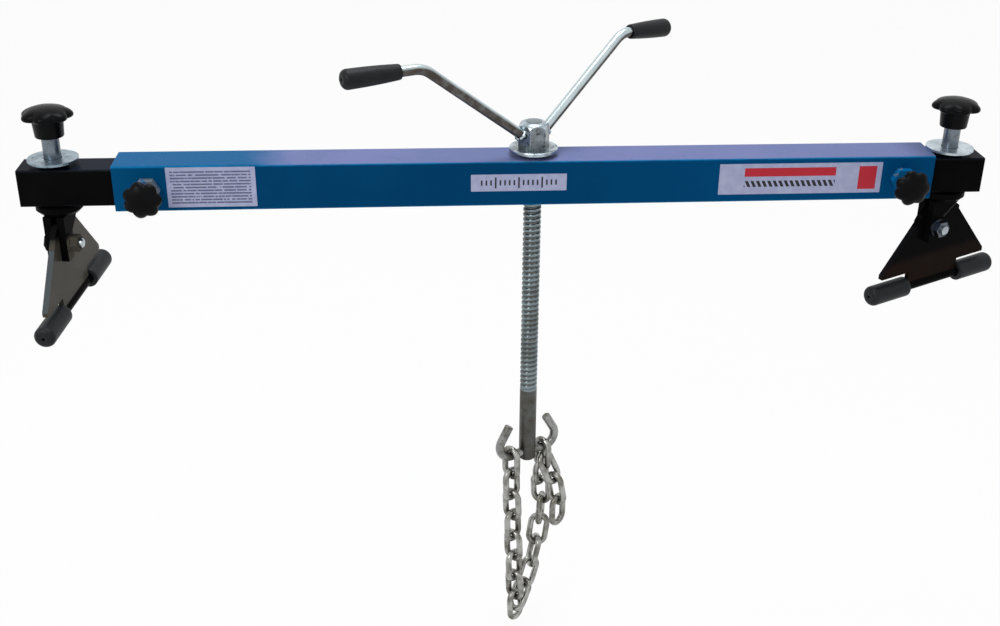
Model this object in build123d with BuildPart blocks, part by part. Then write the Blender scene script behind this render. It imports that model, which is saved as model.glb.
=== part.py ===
"""Engine support bar: a square beam with sliding arms, swivelling feet, a crank-driven spindle and a hook chain.

The origin is on the spindle's axis at the middle of the beam. +X runs along the beam to the right, +Y points to
the rear, +Z points up. All lengths are in millimetres and all angles in degrees.
"""
from build123d import *
import os
from math import atan2, cos, radians, sin, sqrt

# Beam
beam_length = 884.0
beam_side = 50.0
beam_wall = 4.0
beam_corner = 2.5
beam_inner_corner = 1.0

# Arms
arm_side = 40.0
arm_wall = 3.0
arm_corner = 2.0
arm_inner_corner = 1.0
arm_length = 430.0
arm_reach = {"left": 97.2, "right": 59.3}
stud_from_end = 34.5

# Bush through each arm, and the washer on it
foot_bush_d = 30.0
foot_bush_above = 5.3
foot_bush_below = 1.5
foot_washer_d = 52.0
foot_washer_t = 2.5

# Swivelling part of the foot
spigot_d = 24.0
spigot_below_top = 0.5
collar_d = 49.0
collar_t = 10.0
collar_chamfer = 4.5
clevis_t = 8.0
clevis_top_width = 44.0
clevis_foot_width = 14.0
clevis_knee_width = 19.0
clevis_knee_drop = 20.0
clevis_length = 49.5
pivot_drop = 31.4
pivot_offset = 12.5
pivot_d = 10.0
pivot_head_af = 17.0
pivot_head_t = 3.0
pivot_nut_t = 8.0
pivot_washer_d = 20.0
pivot_washer_t = 2.0
pivot_end = 4.0
pivot_chamfer = 1.0
foot_turn = {"left": 82.0, "right": 25.0}

# Tilting foot plate, its rod and its sleeves
plate_t = 6.0
plate_top_width = 36.0
plate_top_rise = 23.5
plate_neck_width = 60.0
plate_neck_top = 15.0
plate_neck_bottom = 11.0
plate_flare_width = 160.0
plate_flare_drop = 49.0
plate_edge_drop = 54.0
rod_d = 12.0
rod_drop = 72.0
sleeve_d = 23.0
sleeve_length = 55.0
sleeve_end = 4.0
sleeve_round = 6.0
sleeve_vent_d = 3.0
sleeve_spread = 80.0
tab_side_gap = 2.0
plate_tilt = {"left": 4.0, "right": 2.0}

# Foot studs and their star knobs
stud_d = 18.0
stud_in_spigot = 12.0
stud_chamfer = 1.0
knob_lift = 23.2
foot_knob = {
    "lobes": 7,
    "hub_r": 14.7,
    "hub_top_r": 16.0,
    "hub_h": 19.5,
    "head_r": 26.5,
    "valley_r": 22.5,
    "lobe_r": 7.0,
    "rim_r": 3.0,
    "head_h": 9.0,
    "dome_h": 4.0,
    "bore_depth": 21.5,
}

# Clamp screws and their star knobs
clamp_from_end = 35.0
clamp_d = 10.0
clamp_chamfer = 1.0
clamp_nut_af = 24.0
clamp_nut_t = 10.0
clamp_stand_off = 8.0
clamp_knob = {
    "lobes": 7,
    "hub_r": 9.5,
    "hub_top_r": 10.5,
    "hub_h": 11.0,
    "head_r": 20.0,
    "valley_r": 17.0,
    "lobe_r": 5.4,
    "rim_r": 2.4,
    "head_h": 9.0,
    "dome_h": 3.0,
    "bore_depth": 13.0,
}

# Crank nut and handle
spindle_bush_d = 28.0
spindle_bush_above = 4.5
flange_d = 53.0
flange_t = 4.0
nut_af = 30.0
nut_h = 28.0
nut_crown_h = 8.0
nut_face_d = 22.0
nut_turn = 10.5
handle_d = 11.0
handle_turn = {"left": 207.0, "right": 38.0}
handle_root_z = 48.5
handle_root_r = 15.0
handle_bend_r = 133.0
handle_bend_z = 136.5
handle_bend_radius = 30.0
handle_run = {"left": 85.0, "right": 71.0}
handle_droop = {"left": 0.0, "right": 4.0}
grip_length = 63.0
grip_inner_d = 16.0
grip_outer_d = 20.5
grip_end = 4.0
grip_round = 6.0
grip_vent_d = 3.0

# Spindle and double hook
spindle_d = 20.0
spindle_above_nut = 0.5
spindle_chamfer = 1.5
spindle_drop = 360.0
hook_d = 10.5
hook_turn = 26.0
hook_from_bottom = 10.0
hook_crown_r = 90.0
hook_crown_arc = 12.0
hook_bend_r = 16.0
hook_bend_arc = 132.0
hook_tip_length = 21.0
hook_tip_chamfer = 0.8

# Chain
wire_d = 7.5
link_length = 30.0
link_width = 12.5
left_links = 8
loop_links = 6
link_turn = 45.0
hook_link_turn = 130.0
link_quarter = 90.0
left_lean = (0.0, -3.0)
loop_lean = (12.5, 9.4)
loop_shift = 1.6
loop_lift = 0.7
loop_twist = 14.0
loop_drop = 16.2
tail_lean = (7.3, -26.9)
tail_link_lean = (0.0, -14.0)
tail_shift = -2.5
tail_lift = 10.6

# Labels on the front face: the outer two are set out from the beam's ends
label_t = 0.3
label_corner = 0.6
label_rise = 1.5
label_from_end = {"left": 55.0, "right": 59.0}
label_width = {"left": 92.0, "centre": 103.0, "right": 182.0}
label_height = {"left": 44.0, "centre": 19.0, "right": 35.0}
centre_label_shift = -17.5

# Clearances: radial on shafts, per side between faces
weld_gap = 0.05
turn_gap = 0.1
thread_gap = 0.05
side_gap = 0.3
washer_gap = 0.5
chain_gap = 0.5

# Steps of the search for the chain's arc
halvings = 60

# Levels and places that several pieces share
sides = {"left": -1, "right": 1}
beam_bore = beam_side - 2 * beam_wall
arm_bore = arm_side - 2 * arm_wall
foot_bush_top = arm_side / 2 + foot_bush_above
foot_bush_bottom = -arm_side / 2 - foot_bush_below
washer_top = foot_bush_top + foot_washer_t
collar_top = foot_bush_bottom - turn_gap
collar_bottom = collar_top - collar_t
spigot_top = foot_bush_top - spigot_below_top
pivot_z = collar_bottom - pivot_drop
clevis_inner = plate_t / 2 + side_gap
clevis_outer = clevis_inner + clevis_t
knob_bottom = washer_top + knob_lift
spindle_bush_top = beam_side / 2 + spindle_bush_above
flange_bottom = spindle_bush_top + turn_gap
nut_bottom = flange_bottom + flange_t
nut_top = nut_bottom + nut_h
spindle_top = nut_top + spindle_above_nut
spindle_bottom = -spindle_drop
hook_z = spindle_bottom + hook_from_bottom
sleeve_end_u = sleeve_spread / 2 + sleeve_length
link_step = link_length - chain_gap

os.makedirs("parts", exist_ok=True)


def keep(piece, name):
    """Label a finished piece and write it under its own name."""
    piece.label = name
    export_step(piece, f"parts/{name}.step")


def stud_x(side):
    """Place of a foot's swivel axis along the beam."""
    return sides[side] * (beam_length / 2 + arm_reach[side] - stud_from_end)


def clamp_x(side):
    """Place of a clamp screw along the beam."""
    return sides[side] * (beam_length / 2 - clamp_from_end)


def foot_plane(side):
    """Plane of a foot's clevis: X across the foot, Y up, origin on the pivot in front of the swivel axis."""
    turn = radians(foot_turn[side])
    across = Vector(cos(turn), sin(turn), 0)
    normal = (sin(turn), -cos(turn), 0)
    return Plane(origin=Vector(stud_x(side), 0, pivot_z) - across * pivot_offset, x_dir=across, z_dir=normal)


def plate_plane(side):
    """Plane of a foot's plate as it stands, tilted about the pivot: origin in the plate's middle."""
    level = foot_plane(side)
    tilt = radians(plate_tilt[side])
    across = level.x_dir * cos(tilt) + level.y_dir * sin(tilt)
    return Plane(origin=level.origin + across * pivot_offset, x_dir=across, z_dir=level.z_dir)


def standing_tube(x, bottom, top, outer_d, bore_d):
    """Round tube or disc with a bore, standing along Z."""
    with BuildPart() as tube:
        with BuildSketch(Plane((x, 0, bottom))):
            Circle(outer_d / 2)
            Circle(bore_d / 2, mode=Mode.SUBTRACT)
        extrude(amount=top - bottom)
    return tube.part


def star_knob(base, size, bore_d):
    """Lobed knob on a base plane: a hub, a domed head with lobes and a blind bore for the stud."""
    hub_h = size["hub_h"]
    head_r = size["head_r"]
    rim_r = size["rim_r"]
    head_top = hub_h + size["head_h"]
    dome_top = head_top + size["dome_h"]
    crown_r = head_r - rim_r
    dome_r = (crown_r**2 + size["dome_h"] ** 2) / (2 * size["dome_h"])
    profile_plane = Plane(base.origin, x_dir=base.x_dir, z_dir=-base.y_dir)
    with BuildPart() as knob:
        with BuildSketch(base.offset(hub_h)) as outline:
            Circle(size["valley_r"])
            with PolarLocations(head_r - size["lobe_r"], size["lobes"]):
                Circle(size["lobe_r"])
            fillet(outline.vertices(), radius=rim_r)
        extrude(amount=dome_top - hub_h)
        with BuildSketch(profile_plane):
            with BuildLine():
                Polyline((0, dome_top), (0, hub_h), (crown_r, hub_h))
                RadiusArc((crown_r, hub_h), (head_r, hub_h + rim_r), -rim_r)
                Line((head_r, hub_h + rim_r), (head_r, head_top - rim_r))
                RadiusArc((head_r, head_top - rim_r), (crown_r, head_top), -rim_r)
                RadiusArc((crown_r, head_top), (0, dome_top), -dome_r)
            make_face()
        revolve(axis=Axis(base.origin, base.z_dir), mode=Mode.INTERSECT)
        with BuildSketch(profile_plane):
            with BuildLine():
                Polyline((0, 0), (size["hub_r"], 0), (size["hub_top_r"], hub_h), (0, hub_h), close=True)
            make_face()
        revolve(axis=Axis(base.origin, base.z_dir))
        with BuildSketch(base):
            Circle(bore_d / 2)
        extrude(amount=size["bore_depth"], mode=Mode.SUBTRACT)
    return knob.part


# Beam: square tube with holes for the spindle bush and the two clamp screws
with BuildPart() as beam_tube:
    with BuildSketch(Plane.YZ.offset(-beam_length / 2)):
        RectangleRounded(beam_side, beam_side, beam_corner)
        RectangleRounded(beam_bore, beam_bore, beam_inner_corner, mode=Mode.SUBTRACT)
    extrude(amount=beam_length)
    with BuildSketch(Plane.XY.offset(-beam_side / 2)):
        Circle(spindle_bush_d / 2 + weld_gap)
    extrude(amount=beam_side, mode=Mode.SUBTRACT)
    with BuildSketch(Plane.XZ.offset(beam_side / 2)):
        with Locations((clamp_x("left"), 0), (clamp_x("right"), 0)):
            Circle(clamp_d / 2 + washer_gap)
    extrude(amount=-beam_wall, mode=Mode.SUBTRACT)
keep(beam_tube.part, "beam_tube")

# Bush welded through the beam, which guides the spindle and carries the crank nut
keep(
    standing_tube(0, -beam_side / 2, spindle_bush_top, spindle_bush_d, spindle_d + 2 * turn_gap),
    "spindle_bush",
)

# Labels
for place in label_width:
    if place in sides:
        label_x = sides[place] * (beam_length / 2 - label_from_end[place] - label_width[place] / 2)
    else:
        label_x = centre_label_shift
    with BuildPart() as label_sheet:
        with BuildSketch(Plane.XZ.offset(beam_side / 2)):
            with Locations((label_x, label_rise)):
                RectangleRounded(label_width[place], label_height[place], label_corner)
        extrude(amount=label_t)
    keep(label_sheet.part, f"label_{place}")

# Clamp screws: a nut welded on the beam, the screw and its knob
for side in sides:
    clamp_origin = (clamp_x(side), -beam_side / 2, 0)
    clamp_plane = Plane(clamp_origin, x_dir=(1, 0, 0), z_dir=(0, -1, 0))
    clamp_tip = -(beam_side - arm_side) / 2 + turn_gap
    clamp_knob_base = clamp_nut_t + clamp_stand_off
    with BuildPart() as clamp_nut:
        with BuildSketch(clamp_plane):
            RegularPolygon(clamp_nut_af / 2, 6, major_radius=False)
            Circle(clamp_d / 2 + thread_gap, mode=Mode.SUBTRACT)
        extrude(amount=clamp_nut_t)
    keep(clamp_nut.part, f"clamp_nut_{side}")
    with BuildPart() as clamp_screw:
        with BuildSketch(clamp_plane.offset(clamp_tip)):
            Circle(clamp_d / 2)
        extrude(amount=clamp_knob_base + clamp_knob["bore_depth"] - turn_gap - clamp_tip)
        chamfer(clamp_screw.edges().filter_by(GeomType.CIRCLE), length=clamp_chamfer)
    keep(clamp_screw.part, f"clamp_screw_{side}")
    knob_plane = clamp_plane.offset(clamp_knob_base)
    keep(star_knob(knob_plane, clamp_knob, clamp_d + 2 * thread_gap), f"clamp_knob_{side}")

# Arms: square tube, the bush through it and the washer on the bush
for side, sign in sides.items():
    arm_end = sign * (beam_length / 2 + arm_reach[side])
    with BuildPart() as arm:
        with BuildSketch(Plane.YZ.offset(arm_end)):
            RectangleRounded(arm_side, arm_side, arm_corner)
            RectangleRounded(arm_bore, arm_bore, arm_inner_corner, mode=Mode.SUBTRACT)
        extrude(amount=-sign * arm_length)
        with BuildSketch(Plane((stud_x(side), 0, -arm_side / 2))):
            Circle(foot_bush_d / 2 + weld_gap)
        extrude(amount=arm_side, mode=Mode.SUBTRACT)
    keep(arm.part, f"arm_{side}")
    keep(
        standing_tube(stud_x(side), foot_bush_bottom, foot_bush_top, foot_bush_d, spigot_d + 2 * turn_gap),
        f"foot_bush_{side}",
    )
    keep(
        standing_tube(stud_x(side), foot_bush_top, washer_top, foot_washer_d, stud_d + 2 * washer_gap),
        f"foot_washer_{side}",
    )

# Swivelling part of each foot: collar, threaded spigot, clevis legs and the pivot's fasteners
for side in sides:
    with BuildPart() as collar:
        add(standing_tube(stud_x(side), collar_bottom, collar_top, collar_d, spigot_d + 2 * weld_gap))
        lower_rims = collar.edges().filter_by(GeomType.CIRCLE).group_by(Axis.Z)[0]
        chamfer(lower_rims.sort_by(SortBy.RADIUS)[-1], length=collar_chamfer)
    keep(collar.part, f"collar_{side}")
    keep(
        standing_tube(stud_x(side), collar_bottom, spigot_top, spigot_d, stud_d + 2 * thread_gap),
        f"spigot_{side}",
    )
    clevis_front = pivot_offset - clevis_top_width / 2
    clevis_foot = pivot_drop - clevis_length
    for leg, leg_start in {"near": clevis_inner, "far": -clevis_outer}.items():
        with BuildPart() as clevis:
            with BuildSketch(foot_plane(side).offset(leg_start)):
                with BuildLine():
                    Polyline(
                        (clevis_front, pivot_drop),
                        (clevis_front + clevis_top_width, pivot_drop),
                        (clevis_front + clevis_knee_width, pivot_drop - clevis_knee_drop),
                        (clevis_front + clevis_foot_width, clevis_foot),
                        (clevis_front, clevis_foot),
                        close=True,
                    )
                make_face()
                Circle(pivot_d / 2 + weld_gap, mode=Mode.SUBTRACT)
            extrude(amount=clevis_t)
        keep(clevis.part, f"clevis_{leg}_{side}")
    nut_start = clevis_outer + pivot_washer_t
    with BuildPart() as pivot_bolt:
        with BuildSketch(foot_plane(side).offset(-clevis_outer)):
            RegularPolygon(pivot_head_af / 2, 6, major_radius=False)
        extrude(amount=-pivot_head_t)
        with BuildSketch(foot_plane(side).offset(-clevis_outer)):
            Circle(pivot_d / 2)
        extrude(amount=clevis_outer + nut_start + pivot_nut_t + pivot_end)
        bolt_end = pivot_bolt.faces().sort_by(Axis(foot_plane(side).origin, foot_plane(side).z_dir))[-1]
        chamfer(bolt_end.edges(), length=pivot_chamfer)
    keep(pivot_bolt.part, f"pivot_bolt_{side}")
    with BuildPart() as pivot_washer:
        with BuildSketch(foot_plane(side).offset(clevis_outer)):
            Circle(pivot_washer_d / 2)
            Circle(pivot_d / 2 + weld_gap, mode=Mode.SUBTRACT)
        extrude(amount=pivot_washer_t)
    keep(pivot_washer.part, f"pivot_washer_{side}")
    with BuildPart() as pivot_nut:
        with BuildSketch(foot_plane(side).offset(nut_start)):
            RegularPolygon(pivot_head_af / 2, 6, major_radius=False)
            Circle(pivot_d / 2 + thread_gap, mode=Mode.SUBTRACT)
        extrude(amount=pivot_nut_t)
    keep(pivot_nut.part, f"pivot_nut_{side}")

# Tilting part of each foot: plate, rod and rubber sleeves
for side in sides:
    plane = plate_plane(side)
    tab_width = sleeve_spread - 2 * tab_side_gap
    rod_plane = Plane(plane.from_local_coords((0, -rod_drop, 0)), x_dir=plane.y_dir, z_dir=plane.x_dir)
    with BuildPart() as foot_plate:
        with BuildSketch(plane.offset(-plate_t / 2)):
            with BuildLine():
                Polyline(
                    (0, plate_top_rise),
                    (plate_top_width / 2, plate_top_rise),
                    (plate_neck_width / 2, plate_neck_top),
                    (plate_neck_width / 2, plate_neck_bottom),
                    (plate_flare_width / 2, -plate_flare_drop),
                    (plate_flare_width / 2, -plate_edge_drop),
                    (tab_width / 2, -plate_edge_drop),
                    (tab_width / 2, -rod_drop),
                    (0, -rod_drop),
                    close=True,
                )
            make_face()
            mirror(about=Plane.YZ)
            with Locations((-pivot_offset, 0)):
                Circle(pivot_d / 2 + turn_gap, mode=Mode.SUBTRACT)
        extrude(amount=plate_t)
        with BuildSketch(rod_plane.offset(-tab_width)):
            Circle(rod_d / 2 + weld_gap)
        extrude(amount=2 * tab_width, mode=Mode.SUBTRACT)
    keep(foot_plate.part, f"foot_plate_{side}")
    rod_half = sleeve_end_u - sleeve_end
    with BuildPart() as foot_rod:
        with BuildSketch(rod_plane.offset(-rod_half)):
            Circle(rod_d / 2)
        extrude(amount=2 * rod_half)
    keep(foot_rod.part, f"foot_rod_{side}")
    for end, direction in {"near": -1, "far": 1}.items():
        mouth = rod_plane.offset(direction * sleeve_spread / 2)
        with BuildPart() as sleeve:
            with BuildSketch(mouth):
                Circle(sleeve_d / 2)
            extrude(amount=direction * sleeve_length)
            outer_face = sleeve.faces().sort_by(Axis(plane.origin, direction * plane.x_dir))[-1]
            fillet(outer_face.edges(), radius=sleeve_round)
            with BuildSketch(mouth):
                Circle(rod_d / 2 + weld_gap)
            extrude(amount=direction * (sleeve_length - sleeve_end), mode=Mode.SUBTRACT)
            with BuildSketch(mouth):
                Circle(sleeve_vent_d / 2)
            extrude(amount=direction * sleeve_length, mode=Mode.SUBTRACT)
        keep(sleeve.part, f"sleeve_{end}_{side}")

# Foot knobs: the stud in the spigot and the star knob on it
for side in sides:
    stud_bottom = spigot_top - stud_in_spigot
    stud_top = knob_bottom + foot_knob["bore_depth"] - turn_gap
    with BuildPart() as stud:
        with BuildSketch(Plane((stud_x(side), 0, stud_bottom))):
            Circle(stud_d / 2)
        extrude(amount=stud_top - stud_bottom)
        chamfer(stud.edges().filter_by(GeomType.CIRCLE), length=stud_chamfer)
    keep(stud.part, f"stud_{side}")
    knob_plane = Plane((stud_x(side), 0, knob_bottom), x_dir=(0, -1, 0))
    keep(star_knob(knob_plane, foot_knob, stud_d + 2 * thread_gap), f"foot_knob_{side}")

# Crank: flange, hex nut with a domed crown, two bent rods and two grips
keep(standing_tube(0, flange_bottom, nut_bottom, flange_d, spindle_d + 2 * turn_gap), "flange_washer")
nut_plane = Plane.XY.offset(nut_bottom).rotated((0, 0, nut_turn))
with BuildPart() as crank_nut:
    with BuildSketch(nut_plane):
        RegularPolygon(nut_af / 2, 6, major_radius=False)
    extrude(amount=nut_h)
    nut_corner_r = nut_af / sqrt(3)
    crown_run = nut_corner_r - nut_face_d / 2
    crown_r = (crown_run**2 + nut_crown_h**2) / (2 * crown_run)
    with BuildSketch(Plane.XZ):
        with BuildLine():
            crown_low = (nut_corner_r, nut_top - nut_crown_h)
            crown_high = (nut_face_d / 2, nut_top)
            Polyline(crown_high, (0, nut_top), (0, nut_bottom), (nut_corner_r, nut_bottom), crown_low)
            RadiusArc(crown_low, crown_high, -crown_r)
        make_face()
    revolve(axis=Axis.Z, mode=Mode.INTERSECT)
    with BuildSketch(nut_plane):
        Circle(spindle_d / 2 + thread_gap)
    extrude(amount=nut_h, mode=Mode.SUBTRACT)
keep(crank_nut.part, "crank_nut")

for side in sides:
    turn = radians(handle_turn[side])
    handle_plane = Plane((0, 0, 0), x_dir=(cos(turn), sin(turn), 0), z_dir=(sin(turn), -cos(turn), 0))
    handle_slope = (handle_bend_z - handle_root_z) / (handle_bend_r - handle_root_r)
    handle_start_r = spindle_d / 2
    droop = radians(handle_droop[side])
    run_out = handle_run[side] * cos(droop)
    run_down = handle_run[side] * sin(droop)
    run_plane = Plane(
        handle_plane.from_local_coords((handle_bend_r, handle_bend_z, 0)),
        x_dir=handle_plane.x_dir * cos(droop) - handle_plane.y_dir * sin(droop),
        z_dir=handle_plane.z_dir,
    )
    with BuildPart() as handle_rod:
        with BuildLine(handle_plane) as handle_path:
            FilletPolyline(
                (handle_start_r, handle_root_z + (handle_start_r - handle_root_r) * handle_slope),
                (handle_bend_r, handle_bend_z),
                (handle_bend_r + run_out, handle_bend_z - run_down),
                radius=handle_bend_radius,
            )
        with BuildSketch(Plane(handle_path.line @ 0, z_dir=handle_path.line % 0)):
            Circle(handle_d / 2)
        sweep()
        with BuildSketch(nut_plane):
            RegularPolygon(nut_af / 2, 6, major_radius=False)
        extrude(amount=nut_h, mode=Mode.SUBTRACT)
    keep(handle_rod.part, f"handle_rod_{side}")
    grip_stop = handle_run[side] + grip_end
    grip_mouth = grip_stop - grip_length
    with BuildPart() as grip:
        with BuildSketch(run_plane):
            with BuildLine():
                Polyline(
                    (grip_mouth, 0),
                    (grip_mouth, grip_inner_d / 2),
                    (grip_stop - grip_round, grip_outer_d / 2),
                )
                RadiusArc(
                    (grip_stop - grip_round, grip_outer_d / 2),
                    (grip_stop, grip_outer_d / 2 - grip_round),
                    grip_round,
                )
                Polyline(
                    (grip_stop, grip_outer_d / 2 - grip_round),
                    (grip_stop, 0),
                    (grip_mouth, 0),
                )
            make_face()
        revolve(axis=Axis(run_plane.origin, run_plane.x_dir))
        bore_plane = Plane(run_plane.from_local_coords((grip_mouth, 0, 0)), z_dir=run_plane.x_dir)
        with BuildSketch(bore_plane):
            Circle(handle_d / 2 + weld_gap)
        extrude(amount=grip_length - grip_end, mode=Mode.SUBTRACT)
        with BuildSketch(bore_plane):
            Circle(grip_vent_d / 2)
        extrude(amount=grip_length, mode=Mode.SUBTRACT)
    keep(grip.part, f"grip_{side}")

# Spindle: threaded bar with a plain shank and a cross hole, and the double hook through it
hook_plane = Plane(
    (0, 0, hook_z),
    x_dir=(cos(radians(hook_turn)), sin(radians(hook_turn)), 0),
    z_dir=(sin(radians(hook_turn)), -cos(radians(hook_turn)), 0),
)
hook_sag = hook_crown_r - sqrt(hook_crown_r**2 - (spindle_d / 2) ** 2)
with BuildPart() as spindle:
    with BuildSketch(Plane.XY.offset(spindle_bottom)):
        Circle(spindle_d / 2)
    extrude(amount=spindle_top - spindle_bottom)
    chamfer(spindle.edges().filter_by(GeomType.CIRCLE), length=spindle_chamfer)
    with BuildSketch(Plane((0, 0, hook_z - hook_sag / 2), z_dir=hook_plane.x_dir)):
        Circle(hook_d / 2 + hook_sag / 2 + weld_gap)
    extrude(amount=spindle_d, both=True, mode=Mode.SUBTRACT)
keep(spindle.part, "spindle")

with BuildPart() as hook:
    with BuildLine(hook_plane) as hook_path:
        crown = JernArc((0, 0), (1, 0), hook_crown_r, -hook_crown_arc)
        bend = JernArc(crown @ 1, crown % 1, hook_bend_r, hook_bend_arc)
        Line(bend @ 1, (bend @ 1) + (bend % 1) * hook_tip_length)
    with BuildSketch(Plane((0, 0, hook_z), z_dir=hook_plane.x_dir)):
        Circle(hook_d / 2)
    sweep()
    mirror(about=Plane((0, 0, 0), z_dir=hook_plane.x_dir))
    chamfer(hook.edges().filter_by(GeomType.CIRCLE).group_by(Axis.Z)[-1], length=hook_tip_chamfer)
keep(hook.part, "hook")

# Chain: places of the links, worked out from the hook's two saddles
up = Vector(0, 0, 1)
down = Vector(0, 0, -1)
hook_dir = hook_plane.x_dir
saddle_r = (hook_crown_r + hook_bend_r) * sin(radians(hook_crown_arc))
saddle_z = hook_z - hook_crown_r + (hook_crown_r + hook_bend_r) * cos(radians(hook_crown_arc)) - hook_bend_r
hang_z = saddle_z + hook_d / 2 + chain_gap / 2


def level_direction(angle):
    """Level unit vector at an angle from +X."""
    return Vector(cos(radians(angle)), sin(radians(angle)), 0)


def leaning(lean):
    """Downward unit vector that leans by two angles, along and across the turned links."""
    sideways = level_direction(link_turn) * sin(radians(lean[0]))
    sideways += level_direction(link_turn + link_quarter) * sin(radians(lean[1]))
    return sideways + down * sqrt(1 - sideways.length**2)


def link_place(start, along, turn):
    """Place of a link whose hole starts at a point, runs along a direction and is turned about it."""
    width_dir = level_direction(turn)
    width_dir = (width_dir - along * width_dir.dot(along)).normalized()
    return Plane(start + along * (link_step / 2), x_dir=width_dir, z_dir=width_dir.cross(along)).location


def slack_directions(start, end, count):
    """Directions of equal links that hang from start to end along an arc of a circle in a vertical plane."""
    chord = end - start
    least, most = 0.0, radians(180) / count
    for _ in range(halvings):
        half_turn = (least + most) / 2
        if link_step * sin(count * half_turn) / sin(half_turn) > chord.length:
            least = half_turn
        else:
            most = half_turn
    level = Vector(chord.X, chord.Y, 0).normalized()
    slope = atan2(chord.Z, chord.dot(level))
    turns = [slope + (2 * index + 1 - count) * half_turn for index in range(count)]
    return [level * cos(turn) + up * sin(turn) for turn in turns]


left_top = hook_dir * -saddle_r + up * hang_z
left_places = [link_place(left_top, down, hook_link_turn)]
left_dir = leaning(left_lean)
second_start = left_top + down * link_step
for index in range(1, left_links):
    left_start = second_start + left_dir * ((index - 1) * link_step)
    left_places.append(link_place(left_start, left_dir, link_turn + link_quarter * (index - 1)))

right_top = hook_dir * saddle_r + up * hang_z
fork = right_top + down * link_step
loop_fork = fork + level_direction(link_turn + link_quarter) * loop_shift + up * loop_lift
tail_fork = fork + level_direction(link_turn + link_quarter) * tail_shift + up * tail_lift
right_places = [
    link_place(right_top, down, hook_link_turn),
    link_place(loop_fork, leaning(loop_lean), link_turn),
    link_place(tail_fork, leaning(tail_lean), link_turn),
]
loop_start = loop_fork + leaning(loop_lean) * link_step
loop_end = second_start + left_dir * ((left_links - 2) * link_step + loop_drop)
for index, along in enumerate(slack_directions(loop_start, loop_end, loop_links), 1):
    right_places.append(link_place(loop_start, along, link_turn + index * (link_quarter + loop_twist)))
    loop_start += along * link_step

tail_start = tail_fork + leaning(tail_lean) * link_step
tail_end = tail_start + leaning(tail_link_lean) * link_step
tail_places = {
    "chain_tail_upper": link_place(tail_start, leaning(tail_link_lean), link_turn + link_quarter),
    "chain_tail_lower": link_place(tail_end, down, link_turn),
}

# One link: a closed ring of wire with straight flanks
link_r = (link_width + wire_d) / 2
link_flank = (link_length - link_width) / 2
with BuildPart() as link:
    with BuildLine() as link_path:
        Line((link_r, 0), (link_r, link_flank))
        CenterArc((0, link_flank), link_r, 0, 180)
        Line((-link_r, link_flank), (-link_r, 0))
    with BuildSketch(Plane((link_r, 0, 0), z_dir=(0, 1, 0))):
        Circle(wire_d / 2)
    sweep()
    mirror(about=Plane.XZ)

with BuildPart() as chain_left:
    with Locations(*left_places):
        add(link.part)
keep(chain_left.part, "chain_left")

with BuildPart() as chain_right:
    with Locations(*right_places):
        add(link.part)
keep(chain_right.part, "chain_right")

for tail_name, tail_place in tail_places.items():
    with BuildPart() as tail_link:
        with Locations(tail_place):
            add(link.part)
    keep(tail_link.part, tail_name)
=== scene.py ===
# %% [markdown]
# # Engine support bar
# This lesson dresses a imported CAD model. The frame holds every solid of the bar at its true place, in
# metres, with +X along the beam, +Y to the rear and +Z up. We keep the solids that already look right and
# give them finishes, and we replace the ones whose real surface has more to show: threads, nuts, knobs, rods
# and grips.

# %% Load the frame
from math import cos, pi, radians, sin, sqrt, tan

import bmesh
import bpy
import numpy as np
from mathutils import Matrix, Vector


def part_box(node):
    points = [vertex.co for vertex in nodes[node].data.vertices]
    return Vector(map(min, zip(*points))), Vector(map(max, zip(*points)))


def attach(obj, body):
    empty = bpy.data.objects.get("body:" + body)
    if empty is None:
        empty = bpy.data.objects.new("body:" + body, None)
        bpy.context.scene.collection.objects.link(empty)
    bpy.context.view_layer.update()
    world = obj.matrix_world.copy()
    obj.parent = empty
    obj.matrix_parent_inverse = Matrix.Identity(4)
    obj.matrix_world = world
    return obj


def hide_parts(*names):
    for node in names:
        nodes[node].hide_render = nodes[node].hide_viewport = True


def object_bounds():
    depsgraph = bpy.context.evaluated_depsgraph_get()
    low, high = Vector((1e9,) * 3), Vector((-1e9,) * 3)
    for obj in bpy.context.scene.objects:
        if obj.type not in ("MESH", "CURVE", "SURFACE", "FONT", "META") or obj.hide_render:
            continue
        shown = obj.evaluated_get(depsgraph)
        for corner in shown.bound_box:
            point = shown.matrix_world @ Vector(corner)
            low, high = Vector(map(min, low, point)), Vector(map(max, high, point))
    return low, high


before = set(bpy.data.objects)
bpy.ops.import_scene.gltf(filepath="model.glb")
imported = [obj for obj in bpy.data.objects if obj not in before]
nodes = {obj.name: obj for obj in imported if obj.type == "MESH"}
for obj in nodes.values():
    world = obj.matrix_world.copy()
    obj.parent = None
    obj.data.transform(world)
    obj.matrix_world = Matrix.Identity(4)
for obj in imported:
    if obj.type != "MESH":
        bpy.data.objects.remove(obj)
cad_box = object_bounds()
SIDES = {"left": -1, "right": 1}
MM = 0.001
UP, ALONG = np.array([0.0, 0.0, 1.0]), np.array([1.0, 0.0, 0.0])
print("nodes:", len(nodes), "box:", cad_box)

# %% [markdown]
# ## The camera
# The photograph was taken from a little above the beam and a little left of its middle. Its place and turn
# were worked out from the beam's long edges. A camera's columns are its right, its up and the way behind it,
# so we write those three directions straight into its matrix. The shift only follows the photograph's
# framing.

# %% Camera
CAMERA_PLACE = (-0.14043, -1.33988, 0.48712)
CAMERA_YAW, CAMERA_PITCH, CAMERA_ROLL = radians(6.106), radians(25.901), radians(1.276)
FOCAL_SHARE = 1.30584
FRAMING = (-0.0325, 0.0004)

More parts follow.
